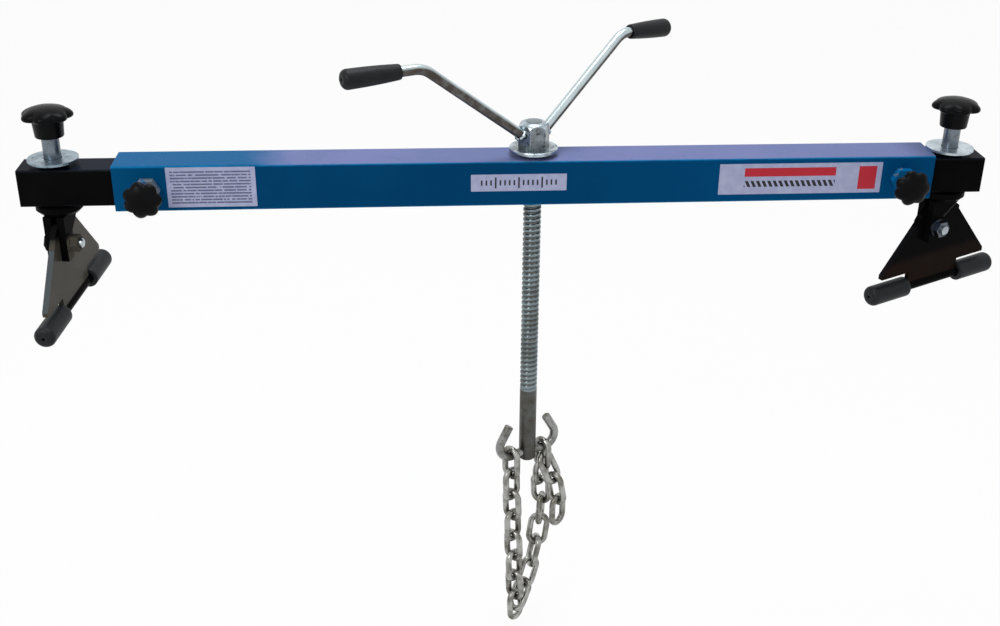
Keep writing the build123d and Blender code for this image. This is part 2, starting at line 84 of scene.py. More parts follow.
ahead = np.array(
    [sin(CAMERA_YAW) * cos(CAMERA_PITCH), cos(CAMERA_YAW) * cos(CAMERA_PITCH), -sin(CAMERA_PITCH)]
)
level_right = np.array([cos(CAMERA_YAW), -sin(CAMERA_YAW), 0.0])
level_up = np.cross(level_right, ahead)
right_dir = cos(CAMERA_ROLL) * level_right + sin(CAMERA_ROLL) * level_up
up_dir = cos(CAMERA_ROLL) * level_up - sin(CAMERA_ROLL) * level_right

lens = bpy.data.cameras.new("camera")
lens.sensor_fit = "HORIZONTAL"
lens.sensor_width = 36.0
lens.lens = FOCAL_SHARE * lens.sensor_width
lens.shift_x, lens.shift_y = FRAMING
lens.clip_start = 0.01
camera = bpy.data.objects.new("camera", lens)
turn = np.eye(4)
turn[:3, :3] = np.stack([right_dir, up_dir, -ahead], axis=1)
turn[:3, 3] = CAMERA_PLACE
camera.matrix_world = Matrix(turn.tolist())
bpy.context.scene.collection.objects.link(camera)
bpy.context.scene.camera = camera
print("camera looks along", ahead.round(3))

# %% [markdown]
# ## From a grid of points to a piece
# Every new piece is a surface on a grid: rows go along the piece, columns go round it. We hand the whole
# array to Blender at once, join the first column to the last one, and merge the rows that shrink to a point.
# Edges that bend by more than a set angle stay sharp, the others are shaded smooth. A grid may bring a shade
# for each point, from 0 to 1, which the finishes darken by: a painted shade in thread roots, rod undersides,
# nut sides and the insides of bores, and on the spindle the shank's duller tone.

# %% Grid helpers
def round_angles(count):
    """Angles of a closed ring: count steps from 0 up to, but without, one full turn."""
    return np.linspace(0.0, 2 * pi, count, endpoint=False)


def grid_faces(rows, columns):
    """Quads between neighbouring rows and columns; the last column joins the first."""
    row, column = np.meshgrid(np.arange(rows - 1), np.arange(columns), indexing="ij")
    beside = (column + 1) % columns
    here, above = row * columns, (row + 1) * columns
    return np.stack([here + column, here + beside, above + beside, above + column], axis=-1).reshape(-1, 4)


def make_piece(name, grids, body, material, instead_of=(), shades=None, sharp=35.0):
    """One mesh object from closed grids of points in metres, riding on a body with a finish."""
    starts = np.cumsum([0] + [grid.shape[0] * grid.shape[1] for grid in grids])
    points = np.concatenate([grid.reshape(-1, 3) for grid in grids])
    faces = np.concatenate([grid_faces(*grid.shape[:2]) + start for grid, start in zip(grids, starts)])
    mesh = bpy.data.meshes.new(name)
    mesh.from_pydata(points.tolist(), [], faces.tolist())
    if shades is not None:
        layer = mesh.attributes.new("shade_and_tone", "FLOAT", "POINT")
        values = np.concatenate([shade.ravel() for shade in shades])
        layer.data.foreach_set("value", values.astype(np.float32))
    shell = bmesh.new()
    shell.from_mesh(mesh)
    bmesh.ops.remove_doubles(shell, verts=shell.verts, dist=1e-6)
    bmesh.ops.dissolve_degenerate(shell, edges=shell.edges, dist=1e-7)
    bmesh.ops.recalc_face_normals(shell, faces=shell.faces)
    shell.to_mesh(mesh)
    shell.free()
    mesh.polygons.foreach_set("use_smooth", np.ones(len(mesh.polygons), bool))
    mesh.set_sharp_from_angle(angle=radians(sharp))
    mesh.materials.append(material)
    piece = bpy.data.objects.new(name, mesh)
    bpy.context.scene.collection.objects.link(piece)
    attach(piece, body)
    if instead_of:
        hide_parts(*instead_of)
    print("piece", name, len(mesh.polygons), "faces")
    return piece


def lathe(profile, columns=64):
    """A profile of (radius, height) rows turned about Z."""
    angle = round_angles(columns)
    radius, height = np.asarray(profile, float).T[:, :, None]
    ring = np.ones_like(angle)
    return np.stack([radius * np.cos(angle), radius * np.sin(angle), height * ring], axis=-1)


def placed(grid, origin, x_dir, z_dir):
    """Local millimetres to the frame's metres: local Z goes along z_dir, local X along x_dir."""
    axes = np.stack([np.asarray(x_dir, float), np.cross(z_dir, x_dir), np.asarray(z_dir, float)])
    return (np.asarray(origin, float) + grid @ axes) * MM


def corner_arc(centre, radius, start, end, steps=8):
    """Rows of a rounded corner in a profile: points of a circle from one angle to another, in degrees."""
    angle = np.radians(np.linspace(start, end, steps))
    return np.stack([centre[0] + radius * np.cos(angle), centre[1] + radius * np.sin(angle)], axis=1)


# %% [markdown]
# ## Shader sums as Python sums
# A material is a net of nodes. Writing `1 - mask` is easier to read than wiring a Math node by hand, so one
# small class wraps a socket and turns Python's operators into Math nodes. Any other node comes from its one
# method.

# %% Shader class
class Wire:
    """A value on its way through a material. Python's operators add Math nodes behind it."""

    def __init__(self, tree, socket=None):
        self.tree = tree
        self.socket = socket

    def node(self, kind, settings, sockets, out=0):
        """A new node: settings are set first, then each socket gets its value or its link."""
        made = self.tree.nodes.new(kind)
        for key, value in settings.items():
            setattr(made, key, value)
        for key, value in sockets.items():
            if isinstance(value, Wire):
                self.tree.links.new(value.socket, made.inputs[key])
            else:
                made.inputs[key].default_value = value
        return Wire(self.tree, made.outputs[out])

    def maths(self, operation, first, second):
        return self.node("ShaderNodeMath", {"operation": operation}, {0: first, 1: second})

    def __add__(self, other):
        return self.maths("ADD", self, other)

    __radd__ = __add__

    def __sub__(self, other):
        return self.maths("SUBTRACT", self, other)

    def __rsub__(self, other):
        return self.maths("SUBTRACT", other, self)

    def __mul__(self, other):
        return self.maths("MULTIPLY", self, other)

    __rmul__ = __mul__

    def __truediv__(self, other):
        return self.maths("DIVIDE", self, other)

    def __gt__(self, other):
        return self.maths("GREATER_THAN", self, other)

    def __lt__(self, other):
        return self.maths("LESS_THAN", self, other)

    def __mod__(self, other):
        return self.maths("FLOORED_MODULO", self, other)

    def __abs__(self):
        return self.maths("ABSOLUTE", self, 0.0)

    def between(self, low, high):
        """1 where the value lies between two numbers, 0 elsewhere."""
        return (self > low) * (self < high)


def object_place(wire):
    """Where a point lies in the frame, in metres."""
    return wire.node("ShaderNodeTexCoord", {}, {}, "Object")


def coordinates(wire):
    """The three numbers of a point's place."""
    split = wire.node("ShaderNodeSeparateXYZ", {}, {"Vector": object_place(wire)})
    return [Wire(wire.tree, split.socket.node.outputs[axis]) for axis in "XYZ"]


def noise(wire, scale, detail=3.0, place=None):
    """Soft random values from 0 to 1; scale is in spots per metre."""
    place = place or object_place(wire)
    return wire.node("ShaderNodeTexNoise", {}, {"Vector": place, "Scale": scale, "Detail": detail})


def step(wire, value, low, high):
    """A smooth step: 0 below low, 1 above high."""
    sockets = {"Value": value, "From Min": low, "From Max": high}
    return wire.node("ShaderNodeMapRange", {"interpolation_type": "SMOOTHSTEP"}, sockets)


def mix(wire, share, first, second):
    """A colour between two colours."""
    sockets = {0: share, 6: first, 7: second}
    return wire.node("ShaderNodeMix", {"data_type": "RGBA"}, sockets, 2)


def shade_and_tone(wire):
    """Painted shade a piece brings along, 0 where it brings none; on the spindle also the shank's tone."""
    return wire.node("ShaderNodeAttribute", {"attribute_name": "shade_and_tone"}, {}, "Fac")


def new_finish(name, **constants):
    """A material with its Principled shader; constants go on the shader's own sockets."""
    material = bpy.data.materials.new(name)
    material.use_nodes = True
    shader = material.node_tree.nodes["Principled BSDF"]
    for socket, value in constants.items():
        shader.inputs[socket.replace("_", " ")].default_value = value
    return material, Wire(material.node_tree), shader


def feed(shader, socket, wire):
    """Links what varies over the surface to one of the shader's sockets."""
    wire.tree.links.new(wire.socket, shader.inputs[socket])


def bumped(shader, wire, height, depth):
    """Turns a height from 0 to 1 into a bump of that depth in metres."""
    sockets = {"Height": height, "Distance": depth, "Strength": 1.0}
    feed(shader, "Normal", wire.node("ShaderNodeBump", {}, sockets))


# %% [markdown]
# ## Paint
# The beam is stove-enamelled blue and the arms and feet are glossy black. Sprayed enamel is never a flat
# colour: it has the fine waviness that painters call orange peel, a few dull patches, small paler scuffs,
# and paler long corners, partly rubbed thin where the tubes slide and stand and partly a painted highlight.
# Two functions serve both paints. One makes the waviness, the patches and the scuffs, and the other finds
# the corners from half the tube's side. The beam's top is a painted reflection, paler than the front, with a
# pale lavender sheen over most of its length and a painted shadow at its right end; the arms' tops get a navy
# tint, also a painted reflection. Finishes measure in metres, as the frame does.

# %% Enamel
BEAM_HALF, ARM_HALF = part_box("beam_tube")[1].z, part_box("arm_left")[1].z
SKIN = 0.0006
BLACK_COAT = (0.003, 0.003, 0.0035, 1)


def orange_peel(wire, shader, gloss):
    """The waviness and the dull patches of sprayed paint; gives back the patches and the scuffs."""
    patches = step(wire, noise(wire, 14.0, 4.0), 0.35, 0.75)
    streaks = wire.node("ShaderNodeMapping", {}, {"Vector": object_place(wire), "Scale": (0.15, 1.0, 1.0)})
    scuffed_areas = step(wire, noise(wire, 9.0), 0.5, 0.62)
    scuffs = step(wire, noise(wire, 210.0, 6.0, streaks), 0.69, 0.73) * scuffed_areas
    feed(shader, "Roughness", gloss + 0.12 * patches + 0.25 * scuffs)
    bumped(shader, wire, noise(wire, 420.0, 1.0) - 0.15 * scuffs, 0.0001)
    return patches, scuffs


def corner_wear_and_highlight(wire, half):
    """1 on a square tube's long corners, from half its side, in uneven strokes: wear and painted highlight.
    """
    _, y, z = coordinates(wire)
    near_y = step(wire, abs(y), half - 4 * SKIN, half - SKIN)
    near_z = step(wire, abs(z), half - 4 * SKIN, half - SKIN) * (abs(z) < half + 0.001)
    return near_y * near_z * (0.45 + 0.55 * step(wire, noise(wire, 60.0, 5.0), 0.3, 0.7))


blue_paint, wire, shader = new_finish("blue_enamel", Specular_IOR_Level=0.02)
x, y, z = coordinates(wire)
patches, scuffs = orange_peel(wire, shader, 0.24)
front = mix(wire, patches * 0.6, (0.0, 0.052, 0.152, 1), (0.0, 0.062, 0.175, 1))
front = mix(wire, step(wire, x, -0.31, -0.44) * 0.6, front, (0.001, 0.090, 0.23, 1))
front = mix(wire, step(wire, x, 0.0, 0.25) * 0.8, front, (0.0, 0.071, 0.205, 1))
# Painted reflection on the top: clean blue, paler than the front, at the left end and a lavender sheen
# beyond.
on_top = z > BEAM_HALF - SKIN
lavender_sheen = step(wire, x + 0.05 * noise(wire, 30.0, 4.0), -0.285, -0.220)
top = mix(wire, lavender_sheen, (0.0, 0.107, 0.280, 1), (0.17, 0.195, 0.395, 1))
# A painted shadow darkens the top towards the right end.
top = mix(wire, step(wire, x, 0.40, 0.445) * 0.6, top, (0.03, 0.045, 0.12, 1))
painted = mix(wire, on_top * (0.85 + 0.15 * patches), front, top)
# Paler long corners: worn paint and a painted highlight.
wear_and_highlight = scuffs * 0.4 + corner_wear_and_highlight(wire, BEAM_HALF) * 0.9
feed(shader, "Base Color", mix(wire, wear_and_highlight, painted, (0.008, 0.19, 0.44, 1)))

black_paint, wire, shader = new_finish("black_enamel", Specular_IOR_Level=0.012)
_, _, z = coordinates(wire)
patches, scuffs = orange_peel(wire, shader, 0.2)
coat = mix(wire, patches, (0.0026, 0.0026, 0.003, 1), (0.0045, 0.0045, 0.005, 1))
# A painted reflection: a navy tint on the arms' top faces.
coat = mix(wire, z.between(ARM_HALF - SKIN, ARM_HALF + SKIN), coat, (0.004, 0.0075, 0.017, 1))
wear_and_highlight = scuffs * 0.5 + corner_wear_and_highlight(wire, ARM_HALF) * 0.5
feed(shader, "Base Color", mix(wire, wear_and_highlight, coat, (0.02, 0.022, 0.028, 1)))
print("enamels:", blue_paint.name, black_paint.name)

# %% [markdown]
# ## The foot plates
# The plates are black too, but they stand near the ground. The left one has an olive brown grey that thins
# upwards, a painted reflection, and a paler front edge, a painted highlight; the right one turns dark brown
# only near its rod. A plate leans on its pivot, so we measure a point along the plate's own two directions:
# the sum of the point's coordinates, each times the direction's share.

# %% Plate finishes
def middle_x(name):
    """The X of the middle of a node's box, in millimetres."""
    low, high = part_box(name)
    return (low.x + high.x) / 2 / MM


STUD_X = {side: middle_x(f"foot_knob_{side}") for side in SIDES}
FOOT_TURN = {"left": radians(82.0), "right": radians(25.0)}
PLATE_TILT = {"left": radians(4.0), "right": radians(2.0)}
PIVOT_Z, PIVOT_OFFSET = -63.0, 12.5
NECK_HALF, NECK_RISE, FLARE_HALF, FLARE_DROP = 30.0, 11.0, 80.0, 49.0
# The olive sheen is a painted reflection, as a black plate shows it at a grazing angle.
OLIVE_SHEEN = (0.082, 0.071, 0.056, 1)


def foot_across(side):
    """The level direction along a foot's plate."""
    return np.array([cos(FOOT_TURN[side]), sin(FOOT_TURN[side]), 0.0])


def pivot_place(side):
    """The middle of a foot's pivot bolt, in millimetres."""
    return np.array([STUD_X[side], 0.0, PIVOT_Z]) - foot_across(side) * PIVOT_OFFSET


def plate_frame(side):
    """The middle of a plate in millimetres, its direction along the rod and its upright direction."""
    flat = foot_across(side)
    slope = flat * cos(PLATE_TILT[side]) + UP * sin(PLATE_TILT[side])
    upright = UP * cos(PLATE_TILT[side]) - flat * sin(PLATE_TILT[side])
    return pivot_place(side) + slope * PIVOT_OFFSET, slope, upright


def along_direction(wire, direction, start):
    """How far a point lies from a start, in metres, measured along a direction."""
    x, y, z = coordinates(wire)
    shares = [float(share) for share in direction]
    return x * shares[0] + y * shares[1] + z * shares[2] - float(np.dot(direction, start)) * MM


def plate_finish(side, low_tone, edge, tone_top, shine):
    """Black paint with a tone that thins upwards, and a paler front edge that is a painted highlight."""
    material, wire, shader = new_finish(f"plate_enamel_{side}", Specular_IOR_Level=shine)
    patches, scuffs = orange_peel(wire, shader, 0.25)
    middle, slope, upright = plate_frame(side)
    along = along_direction(wire, slope, middle)
    rise = along_direction(wire, upright, middle)
    lean = (FLARE_HALF - NECK_HALF) / (NECK_RISE + FLARE_DROP)
    past_edge = along + NECK_HALF * MM + lean * (NECK_RISE * MM - rise)
    # The low tone: on the left plate a painted reflection, on the right a dark brown near the rod.
    toned = 1 - step(wire, rise + 0.008 * noise(wire, 40.0, 4.0), tone_top - 0.006, tone_top + 0.006)
    ground = mix(wire, toned * (0.7 + 0.3 * patches), BLACK_COAT, low_tone)
    # A painted highlight along the plate's front edge.
    edge_highlight = (past_edge < 0.0008) * (rise < 0.002) * (0.5 + 0.5 * noise(wire, 50.0, 4.0))
    ground = mix(wire, edge_highlight, ground, edge)
    feed(shader, "Base Color", mix(wire, scuffs * 0.4, ground, (0.05, 0.05, 0.05, 1)))
    return material


left_plate_paint = plate_finish(
    "left", OLIVE_SHEEN, edge=(0.07, 0.092, 0.108, 1), tone_top=0.012, shine=0.04,
)
right_plate_paint = plate_finish(
    "right", (0.018, 0.010, 0.007, 1), edge=(0.010, 0.010, 0.012, 1), tone_top=-0.033, shine=0.012,
)
print("plate paints:", left_plate_paint.name, right_plate_paint.name)

# %% [markdown]
# ## Zinc
# The crank, spindle, hook, chain and fasteners are zinc plated. Zinc is bright but not a mirror: its
# crystals make the reflection slightly soft, and it dulls and yellows in patches. The shade that a piece
# brings is painted shade in its roots, undersides and hollows. The crank is the brightest; the chain, the
# hook and the spindle are a darker olive grey, a painted reflection of a dark room, and the chain's bright
# patches are painted glints.

# %% Zinc finishes
def zinc(name, bright, dull, speck_and_shade_colour, soft, speckle=0.0, patch=40.0):
    """Plated steel: bright and dull patches, dark specks, the piece's painted shade and a fine grain in the
    bump.
    """
    material, wire, shader = new_finish(name, Metallic=1.0)
    patches = step(wire, noise(wire, patch, 5.0), 0.35, 0.7)
    specks = step(wire, noise(wire, 260.0, 4.0), 0.56, 0.66) * speckle
    grain = noise(wire, 900.0, 2.0)
    plated = mix(wire, patches, bright, dull)
    speck_and_shade_share = wire.maths("MINIMUM", shade_and_tone(wire) * (0.7 + 0.6 * noise(wire, 120.0, 4.0)) + specks, 1.0)
    feed(shader, "Base Color", mix(wire, speck_and_shade_share, plated, speck_and_shade_colour))
    feed(shader, "Roughness", soft + 0.12 * patches + 0.1 * grain + 0.1 * speck_and_shade_share)
    bumped(shader, wire, grain, 0.00004)
    return material


bright_zinc = zinc(
    "bright_zinc", (0.52, 0.60, 0.65, 1), (0.21, 0.25, 0.275, 1), (0.07, 0.075, 0.08, 1),
    soft=0.18, speckle=0.5, patch=85.0,
)
rod_zinc = zinc(
    "rod_zinc", (0.54, 0.63, 0.66, 1), (0.42, 0.49, 0.51, 1), (0.07, 0.058, 0.05, 1),
    soft=0.14,
)
plain_zinc = zinc(
    "plain_zinc", (0.17, 0.20, 0.23, 1), (0.10, 0.115, 0.13, 1), (0.03, 0.03, 0.03, 1),
    soft=0.2, speckle=0.3,
)
dark_zinc = zinc(
    "dark_zinc", (0.13, 0.15, 0.17, 1), (0.05, 0.056, 0.062, 1), (0.02, 0.02, 0.02, 1),
    soft=0.22, speckle=0.5, patch=90.0,
)
# The chain's dark grey is a painted reflection of a dark room, and its bright patches are painted glints.
chain_zinc = zinc(
    "chain_zinc", (0.40, 0.405, 0.385, 1), (0.16, 0.15, 0.13, 1), (0.06, 0.055, 0.05, 1),
    soft=0.18, speckle=0.3, patch=75.0,
)
washer_zinc = zinc(
    "washer_zinc", (0.56, 0.64, 0.70, 1), (0.38, 0.45, 0.50, 1), (0.15, 0.15, 0.15, 1),
    soft=0.2, speckle=0.3,
)
shaded_zinc = zinc(
    "shaded_zinc", (0.32, 0.41, 0.47, 1), (0.18, 0.23, 0.27, 1), (0.05, 0.06, 0.07, 1),
    soft=0.2, speckle=0.4, patch=70.0,
)
# The hook's dark grey is a painted reflection of a dark room.
hook_zinc = zinc(
    "hook_zinc", (0.32, 0.33, 0.32, 1), (0.13, 0.125, 0.11, 1), (0.05, 0.045, 0.04, 1),
    soft=0.2, speckle=0.4, patch=60.0,
)
# The spindle's dark grey is a painted reflection of a dark room.
thread_zinc = zinc(
    "thread_zinc", (0.22, 0.275, 0.295, 1), (0.14, 0.165, 0.175, 1), (0.072, 0.064, 0.052, 1),
    soft=0.24,
)
print("zinc finishes: nine, from", bright_zinc.name, "to", thread_zinc.name)

# %% [markdown]
# ## The welded nuts
# The nuts that hold the clamp screws were welded to the beam before it was sprayed, so they are blue too.
# The paint chips off a nut first: the left one shows mostly bare zinc, the right one is still mostly blue.

# %% Welded nuts
def chipped(name, low, high):
    """Blue paint over zinc: bare where the noise passes from low to high, and only bare metal is metallic."""
    material, wire, shader = new_finish(name, Specular_IOR_Level=0.1)
    bare = step(wire, noise(wire, 150.0, 5.0), low, high)
    metal = mix(wire, noise(wire, 400.0, 3.0), (0.12, 0.14, 0.16, 1), (0.50, 0.55, 0.60, 1))
    feed(shader, "Base Color", mix(wire, bare, (0.002, 0.115, 0.30, 1), metal))
    feed(shader, "Metallic", bare * 0.8)
    feed(shader, "Roughness", 0.3 + 0.15 * bare)
    bumped(shader, wire, 1 - bare, 0.0001)
    return material


worn_nut = chipped("worn_nut", low=0.36, high=0.5)
painted_nut = chipped("painted_nut", low=0.58, high=0.68)
print("nut paints:", worn_nut.name, painted_nut.name)

# %% [markdown]
# ## The pivots
# Each foot was sprayed black with its pivot bolt in place, so the bolt's head is black as well, and its
# threaded end is bare zinc. On the left foot the nut, the washer and the lower part of the clevis leg carry
# the same olive sheen as the plate, a painted reflection. The right foot's leg has a painted highlight, a
# pale line along its slanting edge.

# %% Pivot finishes
LEG_FACE, KNEE, LEG_CORNER = 11.0, (9.5, 11.4), (34.5, 31.4)


def bolt_finish(side):
    """Black paint on the head's side of the plate, zinc on the other, told apart across the plate."""
    material, wire, shader = new_finish(f"pivot_bolt_{side}", Specular_IOR_Level=0.02)
    middle, slope, upright = plate_frame(side)
    bare = along_direction(wire, np.cross(slope, upright), middle) > 0.0
    patches = step(wire, noise(wire, 90.0, 5.0), 0.35, 0.7)
    plated = mix(wire, patches, (0.42, 0.47, 0.50, 1), (0.20, 0.22, 0.24, 1))
    feed(shader, "Base Color", mix(wire, bare, BLACK_COAT, plated))
    feed(shader, "Metallic", bare)
    feed(shader, "Roughness", 0.4 - 0.15 * bare)
    bumped(shader, wire, noise(wire, 900.0, 2.0), 0.00004)
    return material


def leg_finish(name, side, low_tone, tone_top, edge_highlight):
    """Black paint, a tone up to a height over the pivot, a painted highlight on the slant above the knee."""
    material, wire, shader = new_finish(name, Specular_IOR_Level=0.012, Roughness=0.5)
    flat, pivot = foot_across(side), pivot_place(side)
    across = along_direction(wire, flat, pivot)
    rise = along_direction(wire, UP, pivot)
    facing = along_direction(wire, np.cross(flat, UP), pivot) > LEG_FACE * MM
    toned = 1 - step(wire, rise + 0.004 * noise(wire, 60.0, 4.0), tone_top - 0.001, tone_top + 0.005)
    ground = mix(wire, toned * facing * (0.7 + 0.3 * noise(wire, 30.0, 4.0)), BLACK_COAT, low_tone)
    lean = (LEG_CORNER[0] - KNEE[0]) / (LEG_CORNER[1] - KNEE[1])
    inside = (KNEE[0] - across / MM) + lean * (rise / MM - KNEE[1])
    line = (inside < 2.0) * (rise > KNEE[1] * MM) * facing * (0.4 + 0.8 * noise(wire, 120.0, 4.0))
    feed(shader, "Base Color", mix(wire, line * edge_highlight, ground, (0.09, 0.09, 0.085, 1)))
    bumped(shader, wire, noise(wire, 900.0, 2.0), 0.00003)
    return material


bolt_paint = {side: bolt_finish(side) for side in SIDES}
# Olive on the left leg and nut is a painted reflection; the right leg's line is a painted highlight.
left_leg = leg_finish("left_leg", "left", OLIVE_SHEEN, tone_top=0.008, edge_highlight=0.0)
right_leg = leg_finish("right_leg", "right", BLACK_COAT, tone_top=0.008, edge_highlight=1.0)
olive_sheen_nut = leg_finish("olive_sheen_nut", "left", (0.075, 0.066, 0.054, 1), tone_top=0.06, edge_highlight=0.0)
print("pivot finishes:", left_leg.name, right_leg.name, olive_sheen_nut.name)

# %% [markdown]
# ## Rubber and moulded plastic
# The grips and sleeves are dull rubber with a powdery bloom, and the star knobs are moulded plastic whose
# domed faces are polished. Both get a fine grain in the bump, at the size of a real mould's texture.

# %% Rubber and plastic
def moulded(name, colour, bloom_colour, gloss, grain_size, grain_depth, **constants):
    """Rubber or plastic: a mould's grain in the bump and a pale bloom that comes and goes."""
    material, wire, shader = new_finish(name, **constants)
    bloom = step(wire, noise(wire, 45.0, 5.0), 0.4, 0.75)
    grain = noise(wire, 1.0 / grain_size, 2.0)
    colours = mix(wire, bloom, colour, bloom_colour)
    # The shade a piece brings darkens it to near black: painted shade inside bores and vents.
    feed(shader, "Base Color", mix(wire, shade_and_tone(wire), colours, (0.001, 0.001, 0.001, 1)))
    feed(shader, "Roughness", gloss + 0.1 * bloom + 0.08 * grain)
    bumped(shader, wire, grain, grain_depth)
    return material


grip_rubber = moulded(
    "grip_rubber", (0.0045, 0.0055, 0.006, 1), (0.010, 0.0125, 0.0145, 1),
    gloss=0.42, grain_size=0.0008, grain_depth=0.00008, Specular_IOR_Level=0.2,
)
sleeve_rubber = moulded(
    "sleeve_rubber", (0.006, 0.0075, 0.009, 1), (0.014, 0.018, 0.022, 1),
    gloss=0.42, grain_size=0.0008, grain_depth=0.00006, Specular_IOR_Level=0.2,
)
knob_plastic = moulded(
    "knob_plastic", (0.0025, 0.0025, 0.003, 1), (0.004, 0.0043, 0.005, 1),
    gloss=0.24, grain_size=0.0006, grain_depth=0.00002, Specular_IOR_Level=0.06,
)
print("rubber and plastic:", grip_rubber.name, sleeve_rubber.name, knob_plastic.name)

# %% [markdown]
# ## Printed labels
# Three stuck-on silver films sit on the beam's front face. Their prints are plain and generic: rows of rules
# on the left one, a row of centre marks on the middle one, and a red band, a red strip and a hatched row on
# the right one. Each print is arithmetic on the X and Z of the point, so no picture is needed.

# %% Label prints
INK, RED, BLUE_INK = (0.012, 0.012, 0.02, 1), (0.50, 0.012, 0.03, 1), (0.05, 0.055, 0.13, 1)
FILM, SILVER = (0.37, 0.395, 0.60, 1), (0.43, 0.46, 0.66, 1)
RULE_STEP, RULE_ROWS = 0.0034, 11.0
MARK_STEP, MARK_WIDTH, TALL_STEP, MARK_REACH, TALL_REACH = 0.005, 0.0018, 0.025, 0.003, 0.0062
BAND_START, BAND_LENGTH, HATCH_STEP, HATCH_WIDTH = 0.028, 0.102, 0.0062, 0.0036


def label_box(name):
    """Low X, high X, low Z and high Z of a label, in metres."""
    low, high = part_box(name)
    return low.x, high.x, low.z, high.z


def film(name):
    """A label's film: a mottled silver ground, and the point's X and Z for the print."""
    material, wire, shader = new_finish(name, Roughness=0.32, Specular_IOR_Level=0.3)
    x, _, z = coordinates(wire)
    ground = mix(wire, step(wire, noise(wire, 110.0, 5.0), 0.35, 0.7), FILM, SILVER)
    return material, wire, shader, x, z, ground


rules_film, wire, shader, x, z, ground = film("rules_film")
box = label_box("label_left")
row = (box[3] - 0.0035 - z) / RULE_STEP
along = wire.node("ShaderNodeCombineXYZ", {}, {"X": x * 420.0, "Y": (row - row % 1.0) * 7.3})
dashes = noise(wire, 1.0, 2.0, along) > 0.4
inside = x.between(box[0] + 0.004, box[1] - 0.005) * row.between(0.0, RULE_ROWS)
rules = dashes * (row % 1.0).between(0.2, 0.72) * inside
feed(shader, "Base Color", mix(wire, rules * 0.8, ground, BLUE_INK))

marks_film, wire, shader, x, z, ground = film("marks_film")
box = label_box("label_centre")
from_middle, from_level = x - (box[0] + box[1]) / 2, z - (box[2] + box[3]) / 2


def row_of_marks(spacing):
    """1 on upright marks at a spacing, one of them in the middle of the label."""
    off_mark = (from_middle + spacing / 2) % spacing - spacing / 2
    return abs(off_mark) < MARK_WIDTH / 2


marks = row_of_marks(MARK_STEP) * x.between(box[0] + 0.009, box[1] - 0.009)
short = marks * (abs(from_level) < MARK_REACH)
tall = marks * row_of_marks(TALL_STEP) * (abs(from_level) < TALL_REACH)
feed(shader, "Base Color", mix(wire, (short + tall) > 0.5, ground, INK))

bars_film, wire, shader, x, z, ground = film("bars_film")
box = label_box("label_right")
rise = (z - box[2]) / (box[3] - box[2])
strip = (box[1] - x).between(0.006, 0.026) * rise.between(0.12, 0.88)
run = (x - box[0] - BAND_START) / BAND_LENGTH
band = run.between(0.0, 1.0) * rise.between(0.58, 0.86)
hatch = ((x + z * 0.5) % HATCH_STEP).between(0.0, HATCH_WIDTH)
hatched = hatch * rise.between(0.24, 0.44) * run.between(0.0, 1.0)
prints = mix(wire, (strip + band) > 0.5, ground, RED)
feed(shader, "Base Color", mix(wire, hatched, prints, INK))
print("three label films")

# %% [markdown]
# ## Finishes on the CAD solids
# Many solids keep their shape, so they only need a finish. We match by the start of the node's name, and the
# longest start that fits wins.

# %% Dress the CAD nodes
FINISHES = {
    "beam_tube": blue_paint,
    "clamp_nut_left": worn_nut,
    "clamp_nut_right": painted_nut,
    "arm_": black_paint,
    "foot_bush": black_paint,
    "collar": black_paint,
    "clevis": black_paint,
    "foot_plate_left": left_plate_paint,
    "foot_plate_right": right_plate_paint,
    "foot_rod": black_paint,
    "foot_washer_left": shaded_zinc,
    "foot_washer_right": washer_zinc,
    "spigot": plain_zinc,
    "pivot": dark_zinc,
    "stud": plain_zinc,
    "pivot_bolt_left": bolt_paint["left"],
    "pivot_bolt_right": bolt_paint["right"],
    "pivot_nut_left": olive_sheen_nut,
    "pivot_washer_left": olive_sheen_nut,
    "clevis_near_left": left_leg,
    "clevis_near_right": right_leg,
    "clamp_screw": plain_zinc,
    "spindle_bush": plain_zinc,
    "flange": bright_zinc,
    "crank_nut": bright_zinc,
    "handle_rod": rod_zinc,
    "spindle": thread_zinc,
    "hook": hook_zinc,
    "chain": chain_zinc,
    "foot_knob": knob_plastic,
    "clamp_knob": knob_plastic,
    "grip": grip_rubber,
    "sleeve": sleeve_rubber,
    "label_left": rules_film,
    "label_centre": marks_film,
    "label_right": bars_film,
}
for name, node in nodes.items():
    fit = max((key for key in FINISHES if name.startswith(key)), key=len)
    node.data.materials.clear()
    node.data.materials.append(FINISHES[fit])
print("dressed", len(nodes), "nodes")

# %% [markdown]
# ## Threads
# A thread is a groove that climbs one pitch for every turn. As a surface it is a radius that depends on the
# height minus the turn: a wave with flat crests, sloping flanks and flat roots. On the spindle the groove
# runs out above the shank. The same function cuts the fine thread of the clamp screws. The roots get a
# painted shade, and the spindle's shank a duller tone.

# %% Spindle and clamp screws
def thread_wave(phase):
    """1 on a crest and 0 in a root, with sloping flanks between: a clipped triangle wave of period 1."""
    triangle = 2 * np.abs(phase - np.floor(phase) - 0.5)
    return np.clip((triangle - 0.28) / 0.34, 0.0, 1.0)


